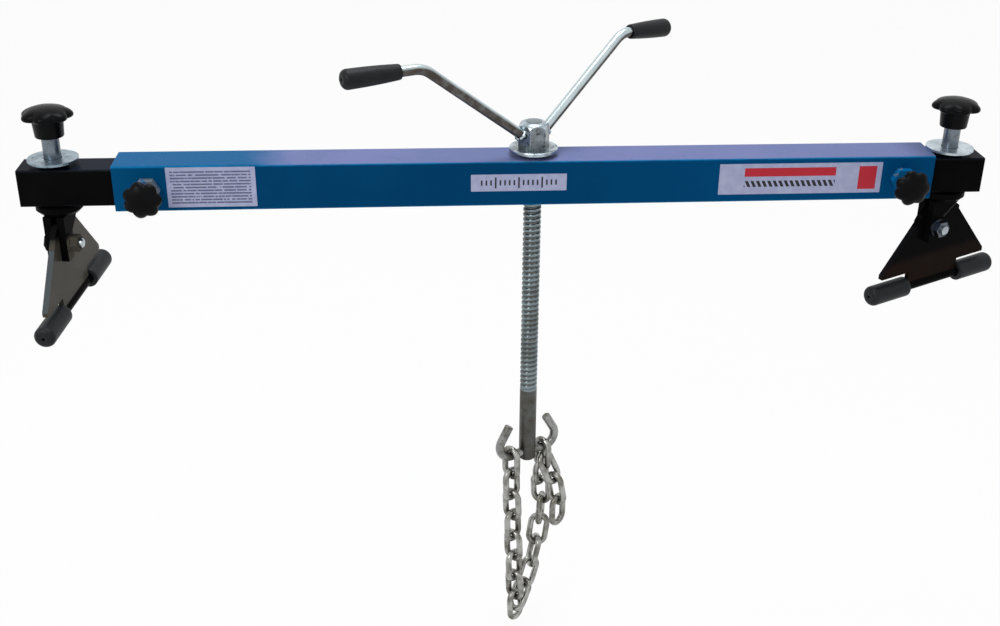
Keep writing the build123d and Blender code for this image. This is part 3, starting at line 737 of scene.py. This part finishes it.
def thread_grid(radius, depth, pitch, bottom, top, runout, chamfer, columns, rows_per_pitch):
    """A threaded rod about Z: radius minus the groove, faded below the runout height and cut by end cones."""
    rows = int((top - bottom) / pitch * rows_per_pitch) + 1
    height = np.linspace(bottom, top, rows)[:, None]
    angle = round_angles(columns)[None, :]
    fade = np.clip((height - runout) / pitch, 0.0, 1.0)
    groove = fade * (1 - thread_wave(height / pitch - angle / (2 * pi)))
    reach = radius - chamfer + np.minimum(height - bottom, top - height)
    size = np.minimum(radius - depth * groove, reach)
    grid = np.stack([size * np.cos(angle), size * np.sin(angle), height + 0 * angle], axis=-1)
    ends = [np.repeat([[[0.0, 0.0, level]]], columns, axis=1) for level in (bottom, top)]
    clean = np.zeros((1, columns))
    # Painted shade in the roots, the shank's duller tone below the runout, and a clean top end.
    shade = np.maximum(0.75 * groove, 0.85 * (height < runout)) * (height < top - 1.0) + 0 * angle
    return np.concatenate([ends[0], grid, ends[1]]), np.concatenate([clean, shade, clean])


SPINDLE_PITCH, SPINDLE_DEPTH, THREAD_END = 6.0, 1.4, -265.0
low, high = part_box("spindle")
SPINDLE_R = high.x / MM
grid, shade = thread_grid(
    SPINDLE_R, SPINDLE_DEPTH, SPINDLE_PITCH, low.z / MM, high.z / MM,
    runout=THREAD_END, chamfer=1.5, columns=56, rows_per_pitch=10,
)
make_piece(
    "threaded_spindle", [placed(grid, (0, 0, 0), ALONG, UP)], "spindle", thread_zinc,
    ["spindle"], [shade],
)

CLAMP_R, CLAMP_PITCH, CLAMP_DEPTH, CLAMP_FROM_END, NO_RUNOUT = 5.0, 1.5, 0.8, 35.0, -1e3
BEAM_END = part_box("beam_tube")[1].x / MM
FRONT = np.array([0.0, -1.0, 0.0])
for side, sign in SIDES.items():
    low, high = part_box(f"clamp_screw_{side}")
    grid, shade = thread_grid(
        CLAMP_R, CLAMP_DEPTH, CLAMP_PITCH, -high.y / MM, -low.y / MM,
        runout=NO_RUNOUT, chamfer=1.0, columns=32, rows_per_pitch=8,
    )
    origin = (sign * (BEAM_END - CLAMP_FROM_END), 0, 0)
    make_piece(
        f"clamp_thread_{side}", [placed(grid, origin, ALONG, FRONT)], f"{side}_clamp_screw", plain_zinc,
        [f"clamp_screw_{side}"], [shade],
    )

# %% [markdown]
# ## Star knobs
# A star knob is a hub with a domed head whose rim swells into seven lobes. Its outline is a circle whose
# radius rises and falls seven times in one turn. The rows climb the hub, turn out under the head, go round
# the rim and close over the dome, and the lobes fade towards the middle of the dome.

# %% Knobs
LOBES = 7
FOOT_KNOB = {"hub": (14.7, 16.0, 19.5), "tip": 26.5, "valley": 22.5, "rim": 3.0, "top": 32.5}
CLAMP_KNOB = {"hub": (9.5, 10.5, 11.0), "tip": 20.0, "valley": 17.0, "rim": 2.4, "top": 23.0}


def knob_grid(size, columns=168):
    """Hub rows of circles, under-rim rows of the lobed outline less an inset, then an elliptic dome.

    The dome's radius is a share of the outline, and the lobes fade with the fourth power of that share."""
    low_r, high_r, hub_h = size["hub"]
    rim = size["rim"]
    angle = round_angles(columns)
    lobed = size["valley"] + (size["tip"] - size["valley"]) * (0.5 + 0.5 * np.cos(LOBES * angle)) ** 0.55
    hub = np.array([(0, 0), (low_r - 1.0, 0), (low_r - 0.3, 0.3), (low_r, 1.0), (high_r, hub_h - 1.6),
                    (high_r + 0.5, hub_h - 0.5), (high_r + 1.6, hub_h)])
    bend = np.radians(np.linspace(0, 90, 7))
    under = np.stack([rim * (1 - np.sin(bend)), hub_h + rim * (1 - np.cos(bend))], axis=1)
    inset, level = under.T[:, :, None]
    lift = np.radians(np.linspace(0, 90, 22))[1:, None]
    share = np.cos(lift)
    mean = lobed.mean()
    dome_r = share * (mean + (lobed - mean) * share**4)
    dome_z = hub_h + rim + (size["top"] - hub_h - rim) * np.sin(lift)
    radius = np.concatenate([hub[:, :1] + 0 * angle, lobed - inset, dome_r])
    height = np.concatenate([hub[:, 1:] + 0 * angle, level + 0 * angle, dome_z + 0 * angle])
    return np.stack([radius * np.cos(angle), radius * np.sin(angle), height], axis=-1)


FOOT_KNOB_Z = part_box("foot_knob_left")[0].z / MM
CLAMP_KNOB_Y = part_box("clamp_knob_left")[1].y / MM
for side, sign in SIDES.items():
    make_piece(
        f"foot_star_{side}", [placed(knob_grid(FOOT_KNOB), (STUD_X[side], 0, FOOT_KNOB_Z), FRONT, UP)],
        f"{side}_foot_knob", knob_plastic, [f"foot_knob_{side}"], sharp=50.0,
    )
    make_piece(
        f"clamp_star_{side}",
        [placed(knob_grid(CLAMP_KNOB), (sign * (BEAM_END - CLAMP_FROM_END), CLAMP_KNOB_Y, 0), ALONG, FRONT)],
        f"{side}_clamp_knob", knob_plastic, [f"clamp_knob_{side}"], sharp=50.0,
    )

# %% [markdown]
# ## Crank nut and flange
# The nut that drives the spindle is a tall hexagon whose top is turned to a dome, so that each side ends in
# an arch. As a surface it is the smaller of two radii: that of the hexagon at an angle, and that of the dome
# at a height. The flange below it is a turned ring with broken edges.

# %% Nut and flange
NUT_AF, NUT_TURN, CROWN_H, FACE_R = 30.0, radians(10.5), 8.0, 11.0
NUT_BOTTOM, NUT_TOP = [corner.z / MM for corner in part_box("crank_nut")]


def hexagon(angle, flats, corner_at):
    """How far a hexagon's side is at an angle: half the flats over the cosine of the angle off the side."""
    off = np.mod(angle - corner_at, pi / 3) - pi / 6
    return flats / 2 / np.cos(off)


def nut_grid(columns=180):
    """Rows up the nut: the smaller of the hexagon and the dome's arc, closed flat below and above.

    The ring starts at a corner, so each corner has a column. The sides get a painted shade, the dome none."""
    angle = round_angles(columns) + NUT_TURN
    corner_r = NUT_AF / sqrt(3)
    run = corner_r - FACE_R
    arc_r = (run**2 + CROWN_H**2) / (2 * run)
    above = np.linspace(0.0, CROWN_H, 22)
    dome = FACE_R + run - (arc_r - np.sqrt(np.maximum(arc_r**2 - above**2, 0.0)))
    heights = np.concatenate([[NUT_BOTTOM, NUT_BOTTOM + 0.6], NUT_TOP - CROWN_H + above])
    limits = np.concatenate([[corner_r - 1.2, corner_r], dome])
    side = hexagon(angle, NUT_AF, NUT_TURN)[None, :]
    radius = np.minimum(side, limits[:, None])
    # Painted shade on the hexagon's sides.
    shade = 0.55 * (side < limits[:, None] + 0.01)
    radius = np.concatenate([0 * radius[:1], radius, 0 * radius[:1]])
    shade = np.concatenate([shade[:1], shade, 0 * shade[:1]])
    height = np.concatenate([[NUT_BOTTOM], heights, [NUT_TOP]])[:, None] + 0 * angle
    return np.stack([radius * np.cos(angle), radius * np.sin(angle), height], axis=-1), shade


grid, shade = nut_grid()
make_piece(
    "domed_nut", [placed(grid, (0, 0, 0), ALONG, UP)], "crank", bright_zinc,
    ["crank_nut"], [shade], sharp=24.0,
)

FLANGE_BOTTOM, FLANGE_TOP = [corner.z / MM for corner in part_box("flange_washer")]
FLANGE_R, FLANGE_BORE, FLANGE_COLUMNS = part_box("flange_washer")[1].x / MM, 10.2, 120
flange_rows = np.concatenate([
    [(FLANGE_BORE, FLANGE_BOTTOM), (FLANGE_R - 0.8, FLANGE_BOTTOM)],
    corner_arc((FLANGE_R - 0.8, FLANGE_BOTTOM + 0.8), 0.8, -90, 0, 5),
    corner_arc((FLANGE_R - 1.2, FLANGE_TOP - 1.2), 1.2, 0, 90, 6),
    [(FLANGE_R - 3.0, FLANGE_TOP), (FLANGE_R - 6.0, FLANGE_TOP), (FLANGE_R - 9.0, FLANGE_TOP)],
    [(FLANGE_BORE, FLANGE_TOP), (FLANGE_BORE, FLANGE_BOTTOM)],
])
# A painted shade on the flange, darker towards the nut's foot.
nut_foot_shade = np.clip((FLANGE_R - 3.5 - flange_rows[:, :1]) / 4.0, 0.0, 0.35) + np.zeros((1, FLANGE_COLUMNS))
grid = placed(lathe(flange_rows, FLANGE_COLUMNS), (0, 0, 0), ALONG, UP)
make_piece("flange_ring", [grid], "crank", bright_zinc, ["flange_washer"], [nut_foot_shade])

# %% [markdown]
# ## Handle rods and their welds
# Each handle is one round rod: straight up and out from the nut, a bend, and a nearly level run for the
# grip. The path lies in a vertical plane, so a circle carried along it needs only two directions: the path's
# own normal and the level one. The undersides get a painted shade that grows where the surface turns
# down. A lumpy bead of weld sits where the rod meets the nut.

# %% Rods
ROD_R, ROOT_R, ROOT_Z, BEND_R, BEND_Z, BEND_RADIUS = 5.5, 15.0, 48.5, 133.0, 136.5, 30.0
HANDLE_TURN = {"left": radians(207.0), "right": radians(38.0)}
HANDLE_RUN = {"left": 85.0, "right": 71.0}
HANDLE_DROOP = {"left": 0.0, "right": radians(4.0)}
# Where the painted shade on each rod's underside begins.
UNDERSIDE_SHADE_FROM = {"left": 0.62, "right": 0.30}
climb = np.arctan2(BEND_Z - ROOT_Z, BEND_R - ROOT_R)


def handle_out(side):
    """The level direction in which a handle reaches out from the nut."""
    return np.array([cos(HANDLE_TURN[side]), sin(HANDLE_TURN[side]), 0.0])


def handle_path(side, steps=18):
    """Rows of (out, up, heading) along a handle: a straight, an arc that turns it down, the grip's run."""
    start, end = climb, -HANDLE_DROOP[side]
    tangent = BEND_RADIUS * tan((start - end) / 2)
    heading = np.linspace(start, end, steps)
    first = np.array([BEND_R - tangent * cos(start), BEND_Z - tangent * sin(start)])
    centre = first + BEND_RADIUS * np.array([sin(start), -cos(start)])
    arc = centre + BEND_RADIUS * np.stack([-np.sin(heading), np.cos(heading)], axis=1)
    root = np.array([[ROOT_R - 1.0, ROOT_Z - tan(start)]])
    tip = np.array([[BEND_R + HANDLE_RUN[side] * cos(end), BEND_Z + HANDLE_RUN[side] * sin(end)]])
    places = np.concatenate([root, arc, tip])
    return np.column_stack([places, np.concatenate([[start], heading, [end]])])


def handle_grid(side, columns=40):
    """A circle carried along the path: cos goes with the path's normal, sin with the level direction."""
    out, up, heading = handle_path(side).T[:, :, None]
    angle = round_angles(columns)[None, :]
    outwards = handle_out(side)
    level = np.cross(UP, outwards)
    normal = -np.sin(heading)[..., None] * outwards + np.cos(heading)[..., None] * UP
    ring = np.cos(angle)[..., None] * normal + np.sin(angle)[..., None] * level
    middle = out[..., None] * outwards + up[..., None] * UP
    tube = middle + ROD_R * ring
    caps = [middle[row] + 0 * tube[row] for row in (0, -1)]
    # Painted shade on the underside, growing as the surface turns down.
    shade = np.clip((UNDERSIDE_SHADE_FROM[side] - ring[..., 2]) / 0.3, 0.0, 0.95)
    return np.concatenate([[caps[0]], tube, [caps[1]]]) * MM, np.concatenate([shade[:1], shade, shade[-1:]])


def bead_grid(radius, thick, lumps, columns=72, rows=14):
    """A ring of weld about Z: a torus whose thickness swells with the sum of two waves round it."""
    angle = round_angles(columns)[None, :]
    around = np.linspace(0, 2 * pi, rows + 1)[:, None]
    size = thick * (1 + 0.22 * np.cos(lumps * angle) + 0.12 * np.sin(3 * angle + 1))
    reach = radius + size * np.cos(around)
    return np.stack([reach * np.cos(angle), reach * np.sin(angle), size * np.sin(around)], axis=-1)


WELD_OUT, WELD_SIZE, WELD_LUMPS = 1.6, 1.9, 9
for side in SIDES:
    grid, shade = handle_grid(side)
    make_piece(f"bent_rod_{side}", [grid], "crank", rod_zinc, [f"handle_rod_{side}"], [shade])
    outwards = handle_out(side)
    along = outwards * cos(climb) + UP * sin(climb)
    across = np.cross(UP, outwards)
    seat = outwards * (ROOT_R + WELD_OUT) + UP * (ROOT_Z + WELD_OUT * tan(climb))
    bead = bead_grid(ROD_R + 0.4, WELD_SIZE, WELD_LUMPS)
    make_piece(f"rod_weld_{side}", [placed(bead, seat, across, along)], "crank", bright_zinc)

# %% [markdown]
# ## Grips and sleeves
# Both are dipped rubber: a closed tube with a rounded end, a small vent in the middle of the end where the
# air went out, and an open mouth where the rod goes in. One profile, turned about its axis, serves both. The
# grip swells towards its end, and the sleeve is straight.

# %% Grips and sleeves
def dipped(length, mouth_r, end_r, bore_r, rounding, wall=4.0, vent_r=1.5, swell=0.0):
    """Profile rows from the bottom of the bore, out of the mouth, along the outside and into the vent."""
    share = np.linspace(0.0, 1.0, 14)
    outside_r = mouth_r + (end_r - mouth_r) * share + swell * np.sin(pi * share)
    outside = np.stack([outside_r, 1.2 + share * (length - rounding - 1.2)], axis=1)
    bore = [(0, length - wall), (bore_r, length - wall), (bore_r, 0.8)]
    mouth = [(bore_r + 0.6, 0.0), (mouth_r - 1.1, 0.0), (mouth_r - 0.4, 0.35)]
    end = corner_arc((end_r - rounding, length - rounding), rounding, 8, 84, 9)
    vent_rim = [(vent_r + 1.0, length), (vent_r + 0.3, length - 0.25)]
    vent = [(vent_r, length - 0.9), (vent_r, length - 2.6), (0, length - 2.8)]
    return np.concatenate([bore, mouth, outside, end, vent_rim, vent])


def dipped_shade(profile, columns):
    """Painted shade: 1 inside the bore and the vent, the first and the last three rows, and 0 elsewhere."""
    rows = np.arange(len(profile))
    inside = (rows < 3) | (rows >= len(profile) - 3)
    return np.repeat(inside[:, None].astype(float), columns, axis=1)


GRIP_LENGTH, GRIP_END, SLEEVE_LENGTH, ROUND = 63.0, 4.0, 55.0, 72
ROD_DROP, SLEEVE_GAP = 72.0, 40.0
GRIP = dipped(GRIP_LENGTH, mouth_r=8.0, end_r=10.25, bore_r=5.7, rounding=6.0, swell=0.5)
SLEEVE = dipped(SLEEVE_LENGTH, mouth_r=11.5, end_r=11.5, bore_r=6.3, rounding=6.0)
for side in SIDES:
    outwards = handle_out(side)
    run_dir = outwards * cos(HANDLE_DROOP[side]) - UP * sin(HANDLE_DROOP[side])
    mouth = outwards * BEND_R + UP * BEND_Z + run_dir * (HANDLE_RUN[side] + GRIP_END - GRIP_LENGTH)
    grid = placed(lathe(GRIP, ROUND), mouth, np.cross(UP, outwards), run_dir)
    make_piece(
        f"dipped_grip_{side}", [grid], "crank", grip_rubber,
        [f"grip_{side}"], [dipped_shade(GRIP, ROUND)],
    )

for side in SIDES:
    middle, slope, upright = plate_frame(side)
    rod_middle = middle - upright * ROD_DROP
    for end, way in (("near", -1), ("far", 1)):
        mouth = rod_middle + slope * way * SLEEVE_GAP
        grid = placed(lathe(SLEEVE, ROUND), mouth, upright, slope * way)
        make_piece(
            f"dipped_sleeve_{end}_{side}", [grid], f"{side}_foot_plate", sleeve_rubber,
            [f"sleeve_{end}_{side}"], [dipped_shade(SLEEVE, ROUND)],
        )

# %% [markdown]
# ## The room
# A pale floor under the chain, a broad lamp above, a smaller key light in front and a pale surround. The
# surround and the floor are white for the camera and for reflections, while the light that the surround
# sheds is weaker, so the colours come out as written and the floor still keeps the bar's shadow.

# %% Floor, light and surround
FLOOR_DROP, FLOOR_REACH, FLOOR_GLOW = 0.012, 6.0, 0.94
floor_z = cad_box[0][2] - FLOOR_DROP
floor_mesh = bpy.data.meshes.new("floor")
floor_corners = [(-1, -1), (1, -1), (1, 1), (-1, 1)]
floor_points = [(x * FLOOR_REACH, y * FLOOR_REACH, floor_z) for x, y in floor_corners]
floor_mesh.from_pydata(floor_points, [], [(0, 1, 2, 3)])
floor = bpy.data.objects.new("floor", floor_mesh)
bpy.context.scene.collection.objects.link(floor)


def shown_to_lens(wire):
    """1 for rays from the lens, in reflections and through glass, 0 for the rays that light the bar."""
    rays = wire.node("ShaderNodeLightPath", {}, {}).socket.node.outputs
    seen = [Wire(wire.tree, rays[f"Is {kind} Ray"]) for kind in ("Camera", "Glossy", "Transmission")]
    return (seen[0] + seen[1] + seen[2]) > 0.5


floor_finish, wire, shader = new_finish("floor_finish", Roughness=0.7)
feed(shader, "Base Color", mix(wire, noise(wire, 3.0), (0.86, 0.86, 0.86, 1), (0.9, 0.9, 0.9, 1)))
glow = wire.node("ShaderNodeEmission", {}, {"Color": (1, 1, 1, 1), "Strength": 1.0})
plain = Wire(wire.tree, shader.outputs["BSDF"])
blend = wire.node("ShaderNodeMixShader", {}, {0: FLOOR_GLOW * shown_to_lens(wire), 1: plain, 2: glow})
output = floor_finish.node_tree.nodes["Material Output"]
wire.tree.links.new(blend.socket, output.inputs["Surface"])
floor_mesh.materials.append(floor_finish)


def soft_light(name, place, target, size, power, colour):
    """A square lamp of a given size that faces a point."""
    lamp = bpy.data.lights.new(name, "AREA")
    lamp.size = size
    lamp.energy = power
    lamp.color = colour
    stand = bpy.data.objects.new(name, lamp)
    stand.location = place
    stand.rotation_euler = (Vector(target) - Vector(place)).to_track_quat("-Z", "Y").to_euler()
    bpy.context.scene.collection.objects.link(stand)


SURROUND_LIGHT = 0.45
soft_light("top", (0.1, 0.35, 1.9), (0, 0, 0), size=1.1, power=25, colour=(0.93, 0.97, 1.0))
soft_light("key", (-1.3, -1.5, 1.3), (-0.2, 0, -0.1), size=0.9, power=18, colour=(1.0, 0.99, 0.97))

world = bpy.data.worlds.new("surround")
world.use_nodes = True
bpy.context.scene.world = world
wire = Wire(world.node_tree)
background = world.node_tree.nodes["Background"]
background.inputs["Color"].default_value = (1, 1, 1, 1)
strength = SURROUND_LIGHT + (1 - SURROUND_LIGHT) * shown_to_lens(wire)
world.node_tree.links.new(strength.socket, background.inputs["Strength"])
bpy.context.scene.view_settings.view_transform = "Standard"
print("floor at", round(floor_z, 3), "m")
